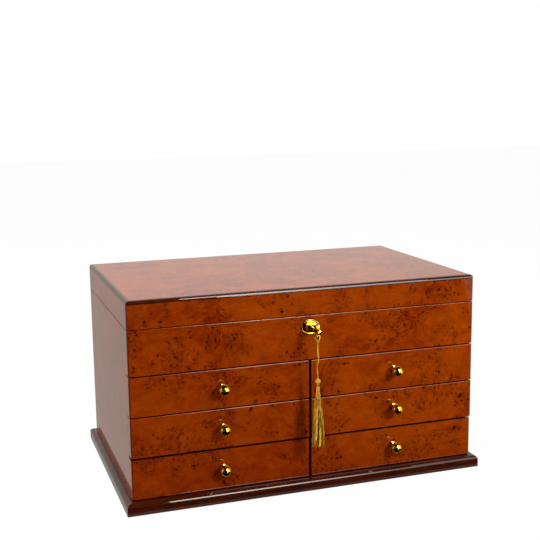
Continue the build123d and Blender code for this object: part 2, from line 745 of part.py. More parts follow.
# The cord's points as chosen: (aside, down from the knot's flat), joined by tangent arcs.
# Below the head's top it runs straight on, through the bore of the head and into the skirt.
cord_top = knot_z - knot_flat
cord_end = tassel_cord_length + cord_inside
sway = [(0, 0), (0, 8.0), (0.9, 16.0), (-0.9, 26.0), (0, 34.5), (0, cord_end)]
points = [Vector(x, hang_y, cord_top - down) for x, down in sway]
bends = []
for before, at, after in zip(points, points[1:], points[2:]):
    turn = (at - before).get_angle(after - at)
    shorter = min((at - before).length, (after - at).length)
    bends.append(0.45 * shorter / math.tan(math.radians(turn / 2)))
with BuildPart() as tassel_cord:
    with BuildLine() as route:
        FilletPolyline(*points, radius=bends)
    cord_length = route.wires()[0].length
    with BuildSketch(Plane(origin=route.line @ 0, z_dir=route.line % 0)):
        Circle(cord_radius)
    sweep(path=route.line)
save("tassel_cord", tassel_cord.part)
print("tassel cord: radii", [round(r, 1) for r in bends], "length", round(cord_length, 2),
      "volume", round(tassel_cord.part.volume, 2),
      "section x length", round(math.pi * cord_radius**2 * cord_length, 2))

head_top = cord_top - tassel_cord_length
ball_z = head_top - tassel_ball_flat
binding_z = head_top - tassel_head_length
with BuildPart() as tassel_head:
    with BuildSketch(Plane(origin=(0, hang_y, 0), x_dir=(1, 0, 0), z_dir=(0, -1, 0))):
        with BuildLine():
            top_r = math.sqrt(tassel_ball**2 - tassel_ball_flat**2)
            neck_z = ball_z - math.sqrt(tassel_ball**2 - tassel_neck**2)
            Polyline((cord_radius, head_top), (top_r, head_top))
            ThreePointArc((top_r, head_top), (tassel_ball, ball_z), (tassel_neck, neck_z))
            Polyline(
                (tassel_neck, neck_z), (tassel_neck, binding_z + 2.6), (tassel_binding, binding_z + 1.9),
                (tassel_binding, binding_z + 0.5), (tassel_binding - 0.4, binding_z), (cord_radius, binding_z),
                (cord_radius, head_top),
            )
        make_face()
    revolve(axis=Axis(origin=(0, hang_y, 0), direction=(0, 0, 1)))
save("tassel_head", tassel_head.part)

# Skirt: a bell of folded strands, narrow under the binding and wide at its cut end.
levels = (
    (0, 0.2), (0.05, 0.25), (0.16, 0.44), (0.3, 0.53), (0.57, 0.7), (0.72, 0.85), (0.86, 0.95), (1, 1)
)
with BuildPart() as tassel_skirt:
    for down, wide in levels:
        with BuildSketch(Plane.XY.offset(binding_z - down * skirt_length)):
            with BuildLine():
                Polyline(*[
                    (
                        wide * skirt_radius * (1 - flute_depth * (k % 2)) * math.cos(math.pi * k / skirt_flutes),
                        hang_y + wide * skirt_radius * (1 - flute_depth * (k % 2)) * math.sin(math.pi * k / skirt_flutes),
                    )
                    for k in range(2 * skirt_flutes)
                ], close=True)
            make_face()
    loft(ruled=True)
    rod((0, hang_y, binding_z), (0, hang_y, cord_top - cord_end), cord_radius, Mode.SUBTRACT)
save("tassel_skirt", tassel_skirt.part)

# Hygrometer: a brass cup let into the lid lining, its dial facing down, a needle on a
# spindle and a glass held in the flange.
cup_z = lid_ceiling - hygrometer_depth
flange_z = lid_ceiling - hygrometer_flange_thickness
dial_z = cup_z + glass_thickness + 2.4
with BuildPart() as hygrometer_case:
    rod((hygrometer_x, 0, cup_z), (hygrometer_x, 0, lid_top_z), hygrometer_radius)
    rod((hygrometer_x, 0, flange_z), (hygrometer_x, 0, lid_ceiling), hygrometer_flange)
    rod((hygrometer_x, 0, cup_z), (hygrometer_x, 0, dial_z + dial_thickness),
        hygrometer_radius - hygrometer_wall, Mode.SUBTRACT)
    fillet(hygrometer_case.faces().sort_by(Axis.Z)[0].outer_wire().edges(), hygrometer_wall / 2)
save("hygrometer_case", hygrometer_case.part)
seat = hygrometer_radius - hygrometer_wall - groove_clearance
with BuildPart() as hygrometer_dial:
    rod((hygrometer_x, 0, dial_z), (hygrometer_x, 0, dial_z + dial_thickness), seat)
    rod((hygrometer_x, 0, dial_z - 1.6), (hygrometer_x, 0, dial_z), 0.6)
save("hygrometer_dial", hygrometer_dial.part)
with BuildPart() as hygrometer_glass:
    rod((hygrometer_x, 0, cup_z), (hygrometer_x, 0, cup_z + glass_thickness), seat)
save("hygrometer_glass", hygrometer_glass.part)
# The needle's plane is turned so that it points along +X of the plane at its reading; the
# top of the scale is the edge of the lid away from the hinges.
needle_z = dial_z - needle_clearance - 0.4
needle_turn = dial_sweep * (needle_reading / 100 - 0.5) - 90
needle_plane = Plane(
    origin=(hygrometer_x, 0, needle_z),
    x_dir=(math.cos(math.radians(needle_turn)), math.sin(math.radians(needle_turn)), 0),
    z_dir=(0, 0, 1),
)
with BuildPart() as hygrometer_needle:
    with BuildSketch(needle_plane):
        with BuildLine():
            Polyline((-needle_tail, -0.7), (-needle_tail, 0.7), (needle_length, 0.25),
                     (needle_length, -0.25), close=True)
        make_face()
        Circle(1.8)
        Circle(0.65, mode=Mode.SUBTRACT)
    extrude(amount=0.4)
save("hygrometer_needle", hygrometer_needle.part)

# Humidifier: an open-backed case with a slotted face towards the cigars, full of foam.
hx = (humidifier_x - humidifier_length / 2, humidifier_x + humidifier_length / 2)
hy = (-humidifier_width / 2, humidifier_width / 2)
hz = (lid_ceiling - humidifier_depth, lid_ceiling)
with BuildPart() as humidifier_case:
    block(hx, hy, hz)
    fillet(humidifier_case.edges().filter_by(Axis.Z), 3 * humidifier_wall)
    block((hx[0] + humidifier_wall, hx[1] - humidifier_wall), (hy[0] + humidifier_wall, hy[1] - humidifier_wall),
          (hz[0] + humidifier_wall, hz[1]), Mode.SUBTRACT)
    with BuildSketch(Plane.XY.offset(hz[0])) as slots:
        with Locations((humidifier_x, 0)):
            with GridLocations((humidifier_length - 4 * humidifier_wall) / grille_slots, 0, grille_slots, 1):
                SlotOverall(grille_slot_length, grille_slot_width, rotation=90)
    extrude(amount=humidifier_wall, mode=Mode.SUBTRACT)
save("humidifier_case", humidifier_case.part)
with BuildPart() as humidifier_foam:
    edge = humidifier_wall + foam_clearance
    block((hx[0] + edge, hx[1] - edge), (hy[0] + edge, hy[1] - edge), (hz[0] + humidifier_wall, hz[1]))
save("humidifier_foam", humidifier_foam.part)
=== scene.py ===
# Cigar humidor, dressed in its finishes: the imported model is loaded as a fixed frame, in
# metres, and each section below finishes one piece or one group of like pieces.
import math

import bpy
import numpy as np
from mathutils import Matrix


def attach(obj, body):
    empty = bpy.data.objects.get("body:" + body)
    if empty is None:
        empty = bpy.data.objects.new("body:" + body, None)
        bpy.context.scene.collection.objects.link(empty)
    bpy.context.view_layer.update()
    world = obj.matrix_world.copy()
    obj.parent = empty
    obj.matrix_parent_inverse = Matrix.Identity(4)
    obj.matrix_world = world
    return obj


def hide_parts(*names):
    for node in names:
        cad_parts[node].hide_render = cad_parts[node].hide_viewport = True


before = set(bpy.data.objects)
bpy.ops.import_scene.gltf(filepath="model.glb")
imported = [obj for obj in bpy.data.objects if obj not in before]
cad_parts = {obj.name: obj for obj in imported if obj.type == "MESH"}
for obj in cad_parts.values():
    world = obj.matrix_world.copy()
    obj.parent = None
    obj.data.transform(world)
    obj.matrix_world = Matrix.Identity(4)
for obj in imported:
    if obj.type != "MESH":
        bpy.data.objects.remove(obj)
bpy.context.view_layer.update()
studio = bpy.context.scene
studio.view_settings.view_transform = "Standard"

# Camera: a 65 mm lens a metre in front of the left corner, a little above the lid and
# tipped down 10 degrees, as in the photograph.
def aimed(right, up, back, spot):
    """The matrix of an object at a spot, turned to these three axes."""
    return Matrix(np.vstack([np.column_stack([right, up, back, spot]), (0, 0, 0, 1)]).tolist())


azimuth, pitch, roll = np.radians([18.4952, 9.9598, -0.758])
level_out = math.cos(pitch)
forward = np.array([math.sin(azimuth) * level_out, math.cos(azimuth) * level_out, -math.sin(pitch)])
level = np.array([math.cos(azimuth), -math.sin(azimuth), 0.0])
upright = np.cross(level, forward)
across = math.cos(roll) * level + math.sin(roll) * upright
above = -math.sin(roll) * level + math.cos(roll) * upright
camera = bpy.data.objects.new("camera", bpy.data.cameras.new("camera"))
camera.data.lens = 65.320
camera.data.sensor_width = 36.0
camera.data.clip_start = 0.02
camera.matrix_world = aimed(across, above, -forward, (-0.361402, -1.070738, 0.421264))
studio.collection.objects.link(camera)
studio.camera = camera


# Tassel, of gold viscose yarn: a cord looped through the key's bow and knotted, a wound
# ball head, and a skirt of cut yarn. It hangs plumb from the bow.
class Wire:
    """A socket of a material's nodes. Arithmetic on wires adds Math nodes."""

    def __init__(self, tree, socket=None):
        self.tree, self.socket = tree, socket

    def node(self, kind, settings, inputs, output=0):
        """Add a node of this type: its settings are set first, then the values or wires of
        its inputs, and the output asked for comes back as a wire."""
        n = self.tree.nodes.new("ShaderNode" + kind)
        for key, value in settings.items():
            setattr(n, key, value)
        for key, value in inputs.items():
            if isinstance(value, Wire):
                self.tree.links.new(value.socket, n.inputs[key])
            else:
                before = n.inputs[key].default_value
                colour = hasattr(before, "__len__") and len(before) == 4
                n.inputs[key].default_value = (*value, 1.0) if colour else value
        return Wire(self.tree, n.outputs[output])

    def maths(self, operation, *others):
        """A Math node of this value and the others."""
        return self.node("Math", {"operation": operation}, dict(enumerate([self, *others])))

    def __add__(self, other):
        return self.maths("ADD", other)

    def __sub__(self, other):
        return self.maths("SUBTRACT", other)

    def __rsub__(self, other):
        return self.node("Math", {"operation": "SUBTRACT"}, {0: other, 1: self})

    def __mul__(self, other):
        return self.maths("MULTIPLY", other)

    def __abs__(self):
        return self.maths("ABSOLUTE")

    __radd__ = __add__
    __rmul__ = __mul__

    def rise(self, low, high):
        """A smooth step from 0 at low to 1 at high, or down where low is above high."""
        if low <= high:
            inputs = {0: self, 1: low, 2: high, 3: 0.0, 4: 1.0}
        else:
            inputs = {0: self, 1: high, 2: low, 3: 1.0, 4: 0.0}
        return self.node("MapRange", {"interpolation_type": "SMOOTHSTEP"}, inputs)

    def mix(self, low, high):
        """The colour or place from low to high as this value goes from 0 to 1."""
        return self.node("Mix", {"data_type": "RGBA"}, {0: self, 6: low, 7: high}, 2)

    def place(self):
        """The place in the object."""
        return self.node("TexCoord", {}, {}, "Object")

    def along(self, axis):
        """The distance along the axis 0, 1 or 2."""
        return self.node("SeparateXYZ", {}, {0: self}, axis)

    def shift(self, scale, amount):
        """This place moved by noise of a scale, up to half the amount along each axis."""
        noise = self.noise(scale, 2.0, output=1)
        half = (0.5, 0.5, 0.5)
        centred = self.node("VectorMath", {"operation": "SUBTRACT"}, {0: noise, 1: half})
        moved = self.node("VectorMath", {"operation": "SCALE"}, {0: centred, "Scale": amount})
        return self.node("VectorMath", {"operation": "ADD"}, {0: self, 1: moved})

    def stretch(self, x, y, z):
        """This place scaled along each axis."""
        return self.node("VectorMath", {"operation": "MULTIPLY"}, {0: self, 1: (x, y, z)})

    def noise(self, scale, detail=2.0, roughness=0.5, output=0):
        """Noise at this place: its value, or its colour as output 1."""
        inputs = {"Vector": self, "Scale": scale, "Detail": detail, "Roughness": roughness}
        return self.node("TexNoise", {}, inputs, output)


def finish(name, constants):
    """A new material, its shader with these constants, and a wire to start from."""
    material = bpy.data.materials.new(name)
    material.use_nodes = True
    shader = material.node_tree.nodes["Principled BSDF"]
    for key, value in constants.items():
        shader.inputs[key].default_value = value
    return material, shader, Wire(material.node_tree)


def feed(shader, socket, wire):
    """Link a wire to a shader's or an output's socket."""
    wire.tree.links.new(wire.socket, shader.inputs[socket])


def coat(material, *names):
    """Give CAD nodes or pieces this material alone."""
    for name in names:
        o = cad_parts[name] if isinstance(name, str) else name
        o.data.materials.clear()
        o.data.materials.append(material)
        for slot in o.material_slots:
            slot.link = "DATA"


def piece_of(name, points, faces, smooth=True):
    """An object from an array of points and a list of faces."""
    mesh = bpy.data.meshes.new(name)
    mesh.from_pydata(points.tolist(), [], faces)
    mesh.polygons.foreach_set("use_smooth", np.full(len(mesh.polygons), smooth))
    mesh.update()
    piece = bpy.data.objects.new(name, mesh)
    studio.collection.objects.link(piece)
    return piece


def surface(name, rows):
    """A closed skin over a grid of points, rings of equal length one after another: a quad
    for each two neighbours on neighbouring rings, and a fan from the middle of each end
    ring to its points."""
    rings, around, _ = rows.shape
    i, j = np.meshgrid(np.arange(rings - 1), np.arange(around), indexing="ij")
    k = (j + 1) % around
    corners = [i * around + j, i * around + k, (i + 1) * around + k, (i + 1) * around + j]
    quads = np.stack(corners, -1).reshape(-1, 4)
    a, b, last, middle = j[0], k[0], (rings - 1) * around, np.full(around, rings * around)
    first_fan = np.stack([b, a, middle], -1)
    last_fan = np.stack([last + a, last + b, middle + 1], -1)
    points = np.vstack([rows.reshape(-1, 3), rows[0].mean(0), rows[-1].mean(0)])
    return piece_of(name, points, quads.tolist() + first_fan.tolist() + last_fan.tolist())


# The tassel from the bow down: where it hangs, its lengths and its radii.
hang_y, pivot_z = -0.1441, 0.17435
loop_bend, cord_radius, knot_radius = 0.002288, 0.00075, 0.0016
knot_flat, cord_seen, head_length = 0.0013, 0.0386, 0.0109
knot_z = pivot_z - 2 * loop_bend
cord_top = knot_z - knot_flat
head_top = cord_top - cord_seen
binding_z = head_top - head_length

yarn, yarn_shader, w = finish(
    "gold_yarn",
    {"Roughness": 0.34, "Specular IOR Level": 0.35, "Specular Tint": (1.0, 0.68, 0.25, 1)},
)
old_gold, bright_gold = (0.13, 0.050, 0.002), (0.84, 0.46, 0.050)
# Painted shade: a darker gold for the dark between the skirt's locks.
painted_shade_gold = (0.130, 0.052, 0.001)
place = w.place()
tone = place.stretch(1, 1, 0.07).noise(1900.0)
lock = place.stretch(1, 1, 0.10).noise(430.0, 1.0)
silk = tone.rise(0.40, 0.58).mix(old_gold, bright_gold)
# The patches of darker gold along the locks are painted shade.
feed(yarn_shader, "Base Color", (lock.rise(0.52, 0.40) * 0.60).mix(silk, painted_shade_gold))

# The cord's points as chosen, in millimetres aside and down from the knot. It runs on
# through the head.
sway = [(0, 0), (0, 8.0), (0.9, 16.0), (-0.9, 26.0), (0, 34.5), (0, 56.1)]
line = bpy.data.curves.new("tassel_cord_line", "CURVE")
line.dimensions = "3D"
line.bevel_depth = cord_radius
line.bevel_resolution = 5
line.use_fill_caps = True
spline = line.splines.new("NURBS")
spline.points.add(len(sway) - 1)
for point, (aside, down) in zip(spline.points, sway):
    point.co = (aside / 1000, hang_y, cord_top - down / 1000, 1)
spline.order_u = 3
spline.use_endpoint_u = True
spline.resolution_u = 24
tassel_line = bpy.data.objects.new("tassel_line", line)
studio.collection.objects.link(tassel_line)
tassel_line.data.materials.append(yarn)
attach(tassel_line, "tassel")
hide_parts("tassel_cord")


def turned_form(name, profile, around, ripple):
    """A surface of revolution about the tassel's upright line: the profile is (radius,
    height) from the top down, and ripple(radius, height, angle) changes the radius."""
    angle = np.linspace(0, 2 * math.pi, around, endpoint=False)
    r, h = np.array(profile).T
    r, h, angle = r[:, None], h[:, None], angle[None, :]
    r = ripple(r, h, angle)
    rows = np.stack([r * np.cos(angle), hang_y + r * np.sin(angle), h + 0 * angle], -1)
    return surface(name, rows[::-1])


# The head: a round knot of crossing turns, and yarn wound tight below it.
ball_radius, ball_height, neck_radius, binding_radius = 0.0028, 0.0052, 0.0013, 0.0019
ball_foot = head_top - ball_height


def crossed(r, h, a):
    """The radius less the grooves between two sets of crossing turns: each set's groove is
    the cube of 1 less the size of a sine of the angle plus or minus the height."""
    upper = np.clip((h - ball_foot + 0.0004) / 0.0008, 0, 1)
    turns = [(1 - np.abs(np.sin(3 * a + sign * 900 * (h - head_top)))) ** 3 for sign in (1, -1)]
    wound = 0.05 * np.abs(np.sin(5000 * h))
    return r * (1 - upper * 0.17 * np.maximum(*turns) - (1 - upper) * wound)


down = np.linspace(0, ball_height, 90)
ball_r = np.sqrt(np.clip(ball_radius**2 - (ball_height / 2 - down) ** 2, 1e-9, None))
wound_h = np.linspace(ball_foot - 0.0002, binding_z + 0.0001, 60)
wound_r = np.interp(
    wound_h - binding_z, [0, 0.0006, 0.0019, 0.0026],
    [0.0015, binding_radius, binding_radius, neck_radius],
)
head_profile = np.column_stack([np.append(ball_r, wound_r), np.append(head_top - down, wound_h)])
tassel_ball = turned_form("tassel_ball", head_profile, 96, crossed)
coat(yarn, tassel_ball)
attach(tassel_ball, "tassel")
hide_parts("tassel_head")

# The loop over the bow's rim, and its knot. The loop is a tube: at each point of its track,
# a circle of the cord's radius stands across the way the track runs.
bend = np.linspace(math.radians(-30), math.radians(210), 61)
arc = np.stack([loop_bend * np.cos(bend), loop_bend * np.sin(bend)], -1)
foot = np.array([[0.0, -2 * loop_bend]])
legs = np.linspace(0, 1, 12)[:, None]
track = np.vstack([foot + legs * (arc[0] - foot), arc[1:-1], arc[-1] + legs * (foot - arc[-1])])
along = np.gradient(track, axis=0)
along /= np.linalg.norm(along, axis=1)[:, None]
side = np.stack([along[:, 1], -along[:, 0]], -1)
turn = np.linspace(0, 2 * math.pi, 20, endpoint=False)
ring_out, ring_up = cord_radius * np.cos(turn), cord_radius * np.sin(turn)
tube = [
    track[:, None, 0] + ring_out * side[:, None, 0],
    hang_y + ring_up + 0 * track[:, None, 0],
    pivot_z + track[:, None, 1] + ring_out * side[:, None, 1],
]
cord_loop = surface("cord_loop", np.stack(tube, -1))
coat(yarn, cord_loop)
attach(cord_loop, "tassel")
knot_h = np.linspace(knot_radius, -knot_flat, 24)
knot_r = np.sqrt(np.clip(knot_radius**2 - knot_h**2, 1e-9, None))
knot = turned_form(
    "cord_knot", np.column_stack([knot_r, knot_z + knot_h]), 48,
    lambda r, z, a: r * (1 - 0.08 * np.abs(np.sin(1.5 * a + 2600 * (z - knot_z)))),
)
coat(yarn, knot)
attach(knot, "tassel")
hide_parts("tassel_loop")

# The skirt: thin yarns in thirteen loose locks that part towards their cut ends, round a
# core of the yarns inside, coloured dark as painted shade. A yarn's middle line is its
# lock's bearing and reach, plus its own small turn round the lock, and a four-sided ring
# round each point gives it body.
skirt_length, skirt_radius = 0.0644, 0.0081
outer_locks, inner_locks, each, steps, sides = 9, 4, 17, 26, 4
locks = outer_locks + inner_locks
count = locks * each
# How wide the skirt is at each level down it, both as shares of its full size.
levels = [0, 0.05, 0.16, 0.3, 0.57, 0.72, 0.86, 1]
widths = [0.2, 0.25, 0.44, 0.53, 0.7, 0.85, 0.95, 1]
rng = np.random.default_rng(11)
member = np.repeat(np.arange(locks), each)
outer = (np.arange(locks) < outer_locks)[member][:, None]
outer_bearing = 2 * math.pi * member / outer_locks
inner_bearing = 2 * math.pi * (member - outer_locks) / inner_locks + 0.5
bearing = np.where(outer[:, 0], outer_bearing, inner_bearing)[:, None]
wave = rng.uniform(-1, 1, (3, locks))[:, member][:, :, None]
own = rng.uniform(-1, 1, (2, count, 1))
length = 1 - 0.05 * np.abs(wave[2]) - 0.09 * rng.random((count, 1)) ** 2
u = np.linspace(0, 1, steps)[None, :] * length
reach = skirt_radius * np.interp(u, levels, widths)
bunch = 1 - 0.68 * np.clip((u - 0.55) / 0.45, 0, 1)
heading = bearing + 0.38 * wave[0] * u + 0.18 * wave[1] * np.sin(5 * u + 2 * wave[0])
lock_out = np.where(outer, 0.72, 0.34) * (1 + 0.05 * wave[1] * np.sin(7 * u))
spin = 2 * math.pi * rng.random((count, 1)) + 1.5 * own[0] * u
apart = np.sqrt(rng.random((count, 1))) * 0.25 * bunch
spread_x = reach * (lock_out * np.cos(heading) + apart * np.cos(spin))
spread_y = reach * (lock_out * np.sin(heading) + apart * np.sin(spin))
mid = np.stack([spread_x, hang_y + spread_y, binding_z - skirt_length * u], -1)[:, :, None, :]
swing = np.arctan2(spread_y, spread_x)
out = np.stack([np.cos(swing), np.sin(swing), 0 * swing], -1)[:, :, None, :]
lateral = np.stack([-np.sin(swing), np.cos(swing), 0 * swing], -1)[:, :, None, :]
thick = (0.00026 + 0.00022 * u)[..., None, None]
corner = np.linspace(0, 2 * math.pi, sides, endpoint=False)[:, None]
strands = mid + thick * (np.cos(corner) * out * 0.8 + np.sin(corner) * lateral)
grid = np.arange(count * steps * sides).reshape(count, steps, sides)
after = np.roll(grid, -1, axis=2)
quads = np.stack([grid[:, :-1], grid[:, 1:], after[:, 1:], after[:, :-1]], -1).reshape(-1, 4)
ends = np.vstack([grid[:, 0], grid[:, -1, ::-1]])
tassel_yarns = piece_of("tassel_yarns", strands.reshape(-1, 3), np.vstack([quads, ends]).tolist())
coat(yarn, tassel_yarns)
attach(tassel_yarns, "tassel")
# The core is the same gold yarn, painted dark as painted shade inside the skirt.
shade, shade_shader, w = finish("gold_yarn_shade_painted", {"Roughness": 0.6})
deep = w.place().stretch(1, 1, 0.07).noise(1500.0)
painted_shade_colour = deep.rise(0.35, 0.65).mix((0.045, 0.018, 0.0015), (0.15, 0.075, 0.004))
feed(shade_shader, "Base Color", painted_shade_colour)
core_u = np.linspace(0, 0.84, 40)
core_share = np.where(core_u < 0.5, 0.66, 0.66 - 1.3 * (core_u - 0.5))
core_r = skirt_radius * np.interp(core_u, levels, widths) * core_share
core = turned_form(
    "tassel_core", np.column_stack([core_r, binding_z - skirt_length * core_u]), 44,
    lambda r, h, a: r * (1 - 0.12 * np.abs(np.sin(6.5 * a))),
)
coat(shade, core)
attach(core, "tassel")
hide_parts("tassel_skirt")

# Burl veneer: loose swarms of small dark eyes and curls in a soft orange-brown ground,
# under polished lacquer. It runs on across the gaps: the fronts were cut from one sheet.
lacquered = {
    "Roughness": 0.5, "Specular IOR Level": 0.0,
    "Coat Weight": 1.0, "Coat Roughness": 0.02, "Coat IOR": 1.5,
}
burl, burl_shader, w = finish("burl_veneer", lacquered)
place = w.place()
swirl = place.shift(17.0, 0.034)
curl = swirl.shift(95.0, 0.007)
cloud = swirl.noise(10.0)
figure = curl.stretch(1, 1, 1.7).noise(62.0, 5.0, 0.6)
hair = curl.stretch(0.6, 0.6, 2.4).noise(390.0, 3.0, 0.62)
dense = swirl.noise(25.0, 2.0, 0.55).rise(0.43, 0.60)


def eyes(scale, least, most, chance):
    """Dark eyes: round spots of a random size and depth in Voronoi cells, more of them in
    the swarms, with the ring of curled grain and the stain round each one."""
    cell = {"Vector": curl, "Scale": scale, "Randomness": 1.0}
    distance = w.node("TexVoronoi", {}, cell)
    lots = w.node("TexVoronoi", {}, cell, 1)
    size, draw, depth = (w.node("SeparateColor", {}, {0: lots}, part) for part in range(3))
    edge = distance - (size * (most - least) + least)
    chosen = (dense * chance - draw).rise(0.0, 0.05) * (depth * 0.55 + 0.45)
    ring = abs(edge - 0.22).rise(0.08, 0.0)
    return edge.rise(0.07, -0.07) * chosen, ring * chosen, edge.rise(0.55, 0.0) * chosen


big, ring, halo = eyes(225.0, 0.15, 0.33, 0.80)
small, _, _ = eyes(450.0, 0.15, 0.36, 0.75)
streak = abs(curl.noise(70.0, 3.0, 0.6) - 0.5).rise(0.03, 0.0) * (dense * 0.8 + 0.2)
ground = figure.rise(0.25, 0.75).mix((0.150, 0.0130, 0.0006), (0.285, 0.0400, 0.0010))
ground = (cloud.rise(0.35, 0.68) * 0.50).mix(ground, (0.305, 0.0500, 0.0010))
ground = (hair.rise(0.48, 0.72) * 0.40).mix(ground, (0.100, 0.0065, 0.0004))
# Painted shade: the veneer is darker towards the lower left, away from the light on the right.
toward_light = place.along(0) * 1.8 + place.along(2) * 3.0
ground = (toward_light.rise(0.80, -0.20) * 0.34).mix(ground, (0.105, 0.0062, 0.0005))
ground = (halo * 0.40 + dense * 0.10).mix(ground, (0.085, 0.0055, 0.0004))
ground = (ring * 0.50).maths("MAXIMUM", streak * 0.35).mix(ground, (0.060, 0.0040, 0.0004))
veneer = (big * 0.95).maths("MAXIMUM", small * 0.80).mix(ground, (0.020, 0.0014, 0.0005))
# Painted dark reflection: a darker line down the rounded upright corners. Painted shade: the
# drawer fronts' edges, which face up, down and across into the gaps, are near-black.
normal = w.node("TexCoord", {}, {}, "Normal")
facing_x, facing_y, facing_z = (abs(normal.along(axis)) for axis in range(3))
# A painted dark reflection down the rounded corners where two faces meet.
dark_corner_reflection = (facing_x * facing_y).rise(0.15, 0.40)
veneer = (dark_corner_reflection * 0.75).mix(veneer, (0.055, 0.0060, 0.0010))
by_middle = abs(place.along(0)).rise(0.006, 0.004)
below_rail = place.along(2).rise(0.15, 0.148)
# Painted shade in the gaps: the fronts' edges facing into them are near-black.
gap_shade = facing_z.rise(0.86, 0.98).maths("MAXIMUM", facing_x.rise(0.86, 0.98) * by_middle)
feed(burl_shader, "Base Color", (gap_shade * below_rail).mix(veneer, (0.006, 0.002, 0.0015)))
fronts = [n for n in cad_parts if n.endswith("_front")]
coat(burl, "lid_top", "lid_walls", "side_left", "side_right", "back_panel", "front_rail", *fronts)

# Plinth and lid bead: mahogany mouldings, run to shape and mitred at the corners, stained
# nearly black-red under the same lacquer.
duller = {**lacquered, "Roughness": 0.45, "Coat Roughness": 0.03}
mahogany, mahogany_shader, w = finish("mahogany", duller)
bent = w.place().shift(30.0, 0.01)
grain = bent.stretch(0.22, 0.22, 4.0).noise(260.0, 4.0, 0.6)
stain = bent.stretch(0.6, 0.6, 3.0).noise(32.0, 3.0, 0.6)
tint = (stain.rise(0.35, 0.65) * 0.5).mix((0.023, 0.0036, 0.0014), (0.050, 0.0066, 0.0020))
red = (grain.rise(0.40, 0.72) * 0.7).mix(tint, (0.062, 0.0105, 0.0030))
feed(mahogany_shader, "Base Color", red)
coat(mahogany, "plinth_mouldings", "lid_edge_beads")

# Case boards inside: the base, the deck under the compartment, and the shelves and
# uprights that the drawers run between. Plain wood, stained brown and glued.
stained, stained_shader, w = finish("stained_board", {"Roughness": 0.55})
grain = w.place().shift(18.0, 0.02).stretch(0.3, 2.0, 4.0).noise(140.0, 4.0, 0.6)
brown = grain.rise(0.35, 0.7).mix((0.020, 0.007, 0.004), (0.06, 0.02, 0.010))
feed(stained_shader, "Base Color", brown)
coat(stained, "base_panel", "deck_panel", "shelf_lower", "shelf_upper", "centre_partitions")

# Cedar: unfinished boards, planed smooth, for the linings, the loose divider and the
# finger-jointed drawer boxes. Pinkish brown, with fine straight grain along each board.
cedar, cedar_shader, w = finish("cedar", {"Roughness": 0.72, "Specular IOR Level": 0.25})
bent = w.place().shift(9.0, 0.02)
end_board = abs(w.node("TexCoord", {}, {}, "Normal").along(0)).rise(0.6, 0.8)
ring_place = end_board.mix(bent.stretch(0.25, 3.5, 4.0), bent.stretch(3.5, 0.25, 4.0))
pore_place = end_board.mix(bent.stretch(0.12, 3.0, 3.0), bent.stretch(3.0, 0.12, 3.0))
rings = ring_place.noise(60.0, 4.0, 0.6)
pores = pore_place.noise(700.0, 2.0, 0.6)
wood = rings.rise(0.3, 0.7).mix((0.36, 0.165, 0.080), (0.60, 0.34, 0.185))
feed(cedar_shader, "Base Color", (pores.rise(0.55, 0.8) * 0.5).mix(wood, (0.21, 0.085, 0.040)))
relief = {"Strength": 0.25, "Distance": 0.0003, "Height": pores}
feed(cedar_shader, "Normal", w.node("Bump", {}, relief))
boxes = [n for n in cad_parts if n.endswith("_box")]
coat(cedar, "lining_walls", "lining_floor", "lid_lining_top", "lid_lining_sides", "divider", *boxes)

# Brass, polished and lacquered: turned knobs, a cast key in its key plate, the screwed-on
# hinges and lock, and the hygrometer's case.
brass, brass_shader, w = finish("brass", {"Metallic": 1.0, "Specular Tint": (1, 0.95, 0.8, 1)})
place = w.place()
feed(brass_shader, "Roughness", place.noise(300.0, 3.0).rise(0.3, 0.8) * 0.06 + 0.13)
cast = place.noise(240.0, 3.0).rise(0.35, 0.7)
feed(brass_shader, "Base Color", cast.mix((0.80, 0.48, 0.055), (0.88, 0.58, 0.095)))
knobs = [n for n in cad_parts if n.endswith("_knob")]
coat(brass, "escutcheon", "key", "hygrometer_case", *knobs)
coat(brass, "lock_case", "lock_bolt", "lock_screws", "strike_plate", "strike_screws")
coat(brass, "hinge_leaves_lower", "hinge_leaves_upper", "hinge_pins")
coat(brass, "hinge_screws_lower", "hinge_screws_upper")

# Felt: a dark green pad let in under the base board, inside the plinth. It stands a hair
# proud, and the humidor rests on it.
felt, felt_shader, w = finish("felt", {"Roughness": 0.95, "Sheen Weight": 0.4})
nap = w.place().noise(1500.0, 3.0).rise(0.3, 0.7)
feed(felt_shader, "Base Color", nap.mix((0.006, 0.02, 0.012), (0.02, 0.055, 0.03)))
coat(felt, "felt_pad")

# Humidifier: a moulded black case with slots, round a block of green florist's foam that
# holds the water. It hangs under the lid's lining.
plastic, plastic_shader, w = finish("black_plastic", {"Base Color": (0.012, 0.012, 0.013, 1)})
feed(plastic_shader, "Roughness", w.place().noise(900.0).rise(0.3, 0.7) * 0.12 + 0.38)
coat(plastic, "humidifier_case")
foam, foam_shader, w = finish("foam", {"Roughness": 0.9})
cells = w.node("TexVoronoi", {}, {"Vector": w.place(), "Scale": 1400.0})
feed(foam_shader, "Base Color", cells.rise(0.1, 0.6).mix((0.03, 0.09, 0.05), (0.16, 0.34, 0.2)))
coat(foam, "humidifier_foam")

